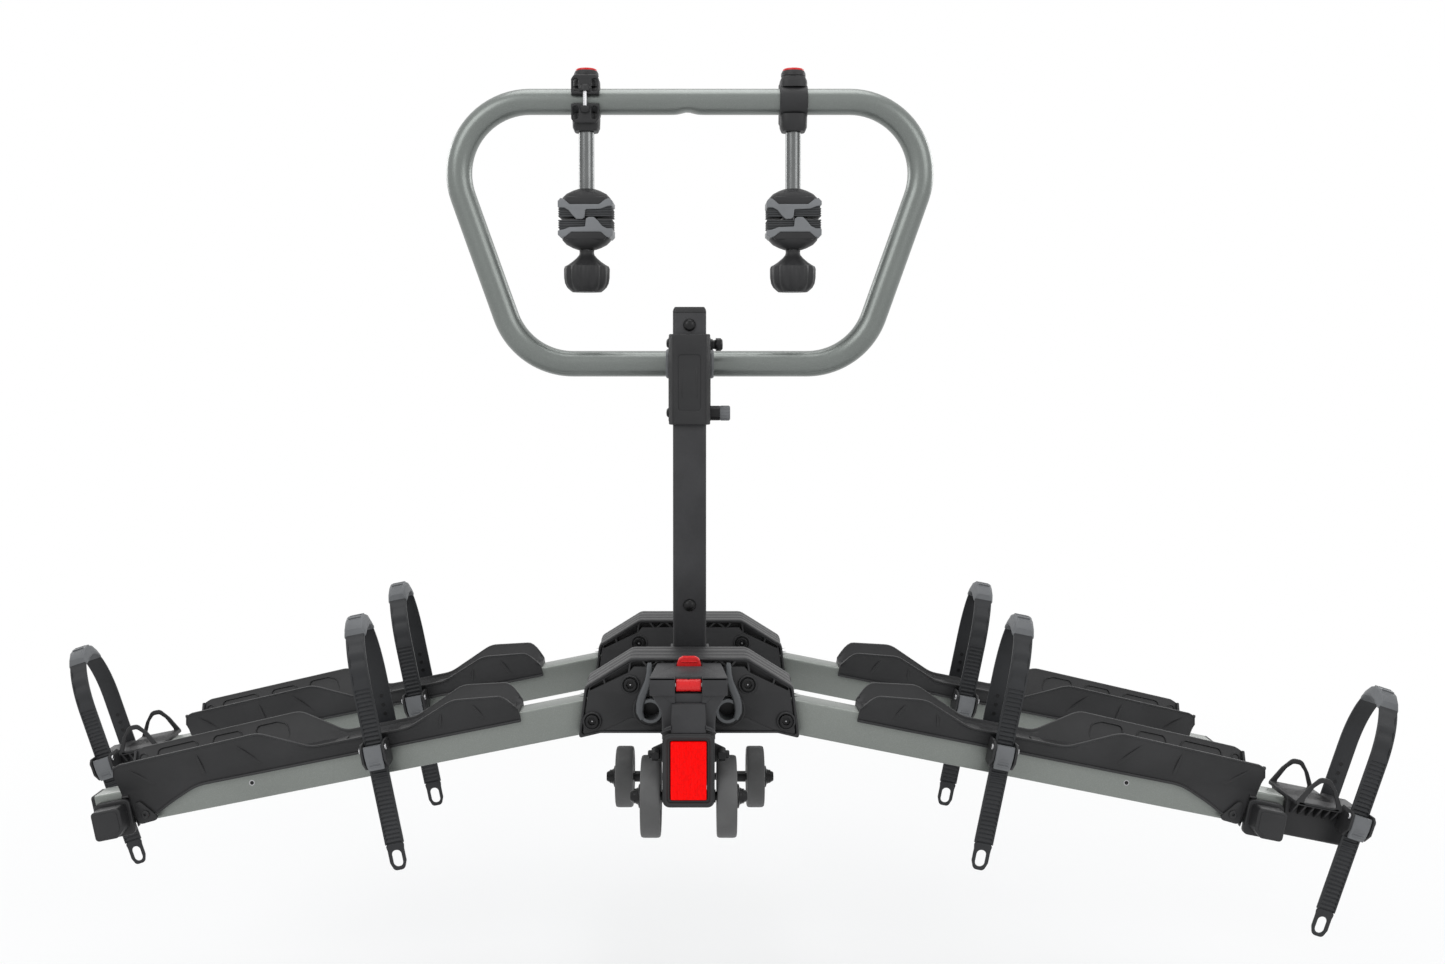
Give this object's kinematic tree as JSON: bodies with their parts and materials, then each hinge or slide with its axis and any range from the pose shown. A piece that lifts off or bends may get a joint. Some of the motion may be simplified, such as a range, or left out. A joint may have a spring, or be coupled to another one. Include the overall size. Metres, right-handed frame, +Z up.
{
  "type": "hitch bike rack",
  "caption": "Platform bike rack for a hitch receiver: drooping rails with wheel trays and ratchet straps, a mast with a height adjustable hoop, and hanging frame clamps.",
  "frame": {"origin": "middle of the hitch pin bore, on the shank's centreline", "axes": "+X right as seen from behind the vehicle and along the rails, +Y towards the vehicle along the shank, +Z up"},
  "size_m": [1.65, 0.69, 1.0241],
  "materials": {
    "black_powder_coat": "fine texture powder coat",
    "bare_steel": "zinc plated",
    "black_bolts": "black oxide",
    "grey_steel": "satin grey paint",
    "rail_paint": "satin grey metallic paint",
    "hoop_paint": "grey metallic paint",
    "black_plastic": "fine grained moulding",
    "strap_plastic": "ribbed moulding",
    "grey_plastic": "moulded",
    "jaw_plastic": "moulded with rubber pads",
    "grey_tyre": "moulded wheel",
    "red_plastic": "gloss red",
    "red_lens": "clear red lens"
  },
  "bodies": {
    "hitch": {"hitch_shank": "black_powder_coat", "pivot_yoke": "black_powder_coat", "pivot_bolt": "bare_steel"},
    "frame": {"main_beam": "black_powder_coat", "pivot_bush": "bare_steel", "side_tubes": "grey_steel", "near_housing_front": "black_plastic", "far_housing_front": "black_plastic", "housing_backs": "black_plastic", "rack_bolts": "black_bolts", "rail_near_left": "rail_paint", "rail_near_right": "rail_paint", "rail_far_left": "rail_paint", "rail_far_right": "rail_paint", "tray_near_left": "black_plastic", "tray_near_right": "black_plastic", "tray_far_left": "black_plastic", "tray_far_right": "black_plastic", "rail_end_caps": "black_plastic", "inner_straps": "strap_plastic", "strap_fittings": "black_plastic", "mast": "black_powder_coat", "mast_cap": "black_plastic", "steel_brackets": "black_powder_coat", "latch_head": "black_plastic", "reflector_frame": "black_plastic", "reflector": "red_lens", "wheel_axles": "bare_steel", "axle_caps": "black_plastic"},
    "carriage": {"slider": "black_plastic", "hoop": "hoop_paint"},
    "wheel_near_left_body": {"wheel_near_left": "grey_tyre"},
    "wheel_near_right_body": {"wheel_near_right": "grey_tyre"},
    "wheel_far_left_body": {"wheel_far_left": "grey_tyre"},
    "wheel_far_right_body": {"wheel_far_right": "grey_tyre"},
    "lever_near_left_body": {"lever_near_left": "grey_plastic"},
    "lever_near_right_body": {"lever_near_right": "grey_plastic"},
    "lever_far_left_body": {"lever_far_left": "grey_plastic"},
    "lever_far_right_body": {"lever_far_right": "grey_plastic"},
    "cradle_right_body": {"cradle_right": "black_plastic", "strap_outer_right": "strap_plastic", "strap_fittings_right": "black_plastic"},
    "lever_outer_right_body": {"lever_outer_right": "grey_plastic"},
    "cradle_left_body": {"cradle_left": "black_plastic", "strap_outer_left": "strap_plastic", "strap_fittings_left": "black_plastic"},
    "lever_outer_left_body": {"lever_outer_left": "grey_plastic"},
    "arm_left_body": {"arm_clamp_left": "black_plastic", "hanger_left": "jaw_plastic"},
    "arm_knob_left_body": {"arm_knob_left": "black_plastic"},
    "jaw_left_body": {"lower_jaw_left": "jaw_plastic"},
    "clamp_knob_left_body": {"clamp_knob_left": "grey_plastic"},
    "arm_right_body": {"arm_clamp_right": "black_plastic", "hanger_right": "jaw_plastic"},
    "arm_knob_right_body": {"arm_knob_right": "black_plastic"},
    "jaw_right_body": {"lower_jaw_right": "jaw_plastic"},
    "clamp_knob_right_body": {"clamp_knob_right": "grey_plastic"},
    "release_body": {"release_lever": "red_plastic"},
    "plunger_body": {"plunger": "black_plastic"},
    "slider_knob_body": {"slider_knob": "black_plastic"}
  },
  "joints": [
    {"name": "tilt", "type": "hinge", "parent": "hitch", "child": "frame", "pos_m": [0, -0.2, 0], "axis": [1, 0, 0], "range_deg": [0, 35]},
    {"name": "hoop_slide", "type": "slide", "parent": "frame", "child": "carriage", "axis": [0, 0, 1], "range_m": [-0.2093, 0]},
    {"name": "wheel_near_left_spin", "type": "hinge", "parent": "frame", "child": "wheel_near_left_body", "pos_m": [-0.0425, -0.572, -0.043], "axis": [1, 0, 0], "continuous": true},
    {"name": "wheel_near_right_spin", "type": "hinge", "parent": "frame", "child": "wheel_near_right_body", "pos_m": [0.0425, -0.572, -0.043], "axis": [1, 0, 0], "continuous": true},
    {"name": "wheel_far_left_spin", "type": "hinge", "parent": "frame", "child": "wheel_far_left_body", "pos_m": [-0.082, -0.392, -0.078], "axis": [1, 0, 0], "continuous": true},
    {"name": "wheel_far_right_spin", "type": "hinge", "parent": "frame", "child": "wheel_far_right_body", "pos_m": [0.082, -0.392, -0.078], "axis": [1, 0, 0], "continuous": true},
    {"name": "lever_near_left_lift", "type": "hinge", "parent": "frame", "child": "lever_near_left_body", "pos_m": [-0.36057, -0.5555, 0.00558], "axis": [-0.9806, 0, -0.1961], "range_deg": [0, 80], "stiffness_Nm_per_rad": 0.03},
    {"name": "lever_near_right_lift", "type": "hinge", "parent": "frame", "child": "lever_near_right_body", "pos_m": [0.36057, -0.5555, 0.00558], "axis": [-0.9806, 0, 0.1961], "range_deg": [0, 80], "stiffness_Nm_per_rad": 0.03},
    {"name": "lever_far_left_lift", "type": "hinge", "parent": "frame", "child": "lever_far_left_body", "pos_m": [-0.36057, -0.3355, 0.00558], "axis": [-0.9806, 0, -0.1961], "range_deg": [0, 80], "stiffness_Nm_per_rad": 0.03},
    {"name": "lever_far_right_lift", "type": "hinge", "parent": "frame", "child": "lever_far_right_body", "pos_m": [0.36057, -0.3355, 0.00558], "axis": [-0.9806, 0, 0.1961], "range_deg": [0, 80], "stiffness_Nm_per_rad": 0.03},
    {"name": "cradle_right_slide", "type": "slide", "parent": "frame", "child": "cradle_right_body", "axis": [0.9806, 0, -0.1961], "range_m": [0, 0.15]},
    {"name": "lever_outer_right_lift", "type": "hinge", "parent": "cradle_right_body", "child": "lever_outer_right_body", "pos_m": [0.76816, -0.5555, -0.07607], "axis": [-0.9494, 0, 0.3142], "range_deg": [0, 80], "stiffness_Nm_per_rad": 0.03},
    {"name": "cradle_left_slide", "type": "slide", "parent": "frame", "child": "cradle_left_body", "axis": [-0.9806, 0, -0.1961], "range_m": [0, 0.15]},
    {"name": "lever_outer_left_lift", "type": "hinge", "parent": "cradle_left_body", "child": "lever_outer_left_body", "pos_m": [-0.76816, -0.3355, -0.07607], "axis": [-0.9494, 0, -0.3142], "range_deg": [0, 80], "stiffness_Nm_per_rad": 0.03},
    {"name": "arm_left_swivel", "type": "hinge", "parent": "carriage", "child": "arm_left_body", "pos_m": [-0.1275, -0.4043, 0.7662], "axis": [1, 0, 0], "range_deg": [-100, 100]},
    {"name": "arm_knob_left_spin", "type": "hinge", "parent": "arm_left_body", "child": "arm_knob_left_body", "pos_m": [-0.1275, -0.4043, 0.8], "axis": [0, 0, 1], "range_deg": [-360, 360]},
    {"name": "jaw_left_slide", "type": "slide", "parent": "arm_left_body", "child": "jaw_left_body", "axis": [0, 0, 1], "range_m": [-0.03, 0]},
    {"name": "clamp_knob_left_spin", "type": "hinge", "parent": "jaw_left_body", "child": "clamp_knob_left_body", "pos_m": [-0.1275, -0.4043, 0.55], "axis": [0, 0, 1], "range_deg": [0, 3600]},
    {"name": "arm_right_swivel", "type": "hinge", "parent": "carriage", "child": "arm_right_body", "pos_m": [0.1275, -0.4043, 0.7662], "axis": [1, 0, 0], "range_deg": [-100, 100]},
    {"name": "arm_knob_right_spin", "type": "hinge", "parent": "arm_right_body", "child": "arm_knob_right_body", "pos_m": [0.1275, -0.4043, 0.8], "axis": [0, 0, 1], "range_deg": [-360, 360]},
    {"name": "jaw_right_slide", "type": "slide", "parent": "arm_right_body", "child": "jaw_right_body", "axis": [0, 0, 1], "range_m": [-0.03, 0]},
    {"name": "clamp_knob_right_spin", "type": "hinge", "parent": "jaw_right_body", "child": "clamp_knob_right_body", "pos_m": [0.1275, -0.4043, 0.55], "axis": [0, 0, 1], "range_deg": [0, 3600]},
    {"name": "release_lift", "type": "hinge", "parent": "frame", "child": "release_body", "pos_m": [0, -0.605, 0.092], "axis": [1, 0, 0], "range_deg": [0, 12], "stiffness_Nm_per_rad": 3},
    {"name": "plunger_pull", "type": "slide", "parent": "carriage", "child": "plunger_body", "axis": [1, 0, 0], "range_m": [0, 0.008], "stiffness_N_per_m": 900},
    {"name": "slider_knob_spin", "type": "hinge", "parent": "carriage", "child": "slider_knob_body", "pos_m": [0.035, -0.445, 0.384], "axis": [1, 0, 0], "range_deg": [-360, 360]}
  ],
  "couplings": [
    {"joint": "clamp_knob_left_spin", "follows": "jaw_left_slide", "rad_per_m": -2094.3},
    {"joint": "clamp_knob_right_spin", "follows": "jaw_right_slide", "rad_per_m": -2094.3}
  ]
}
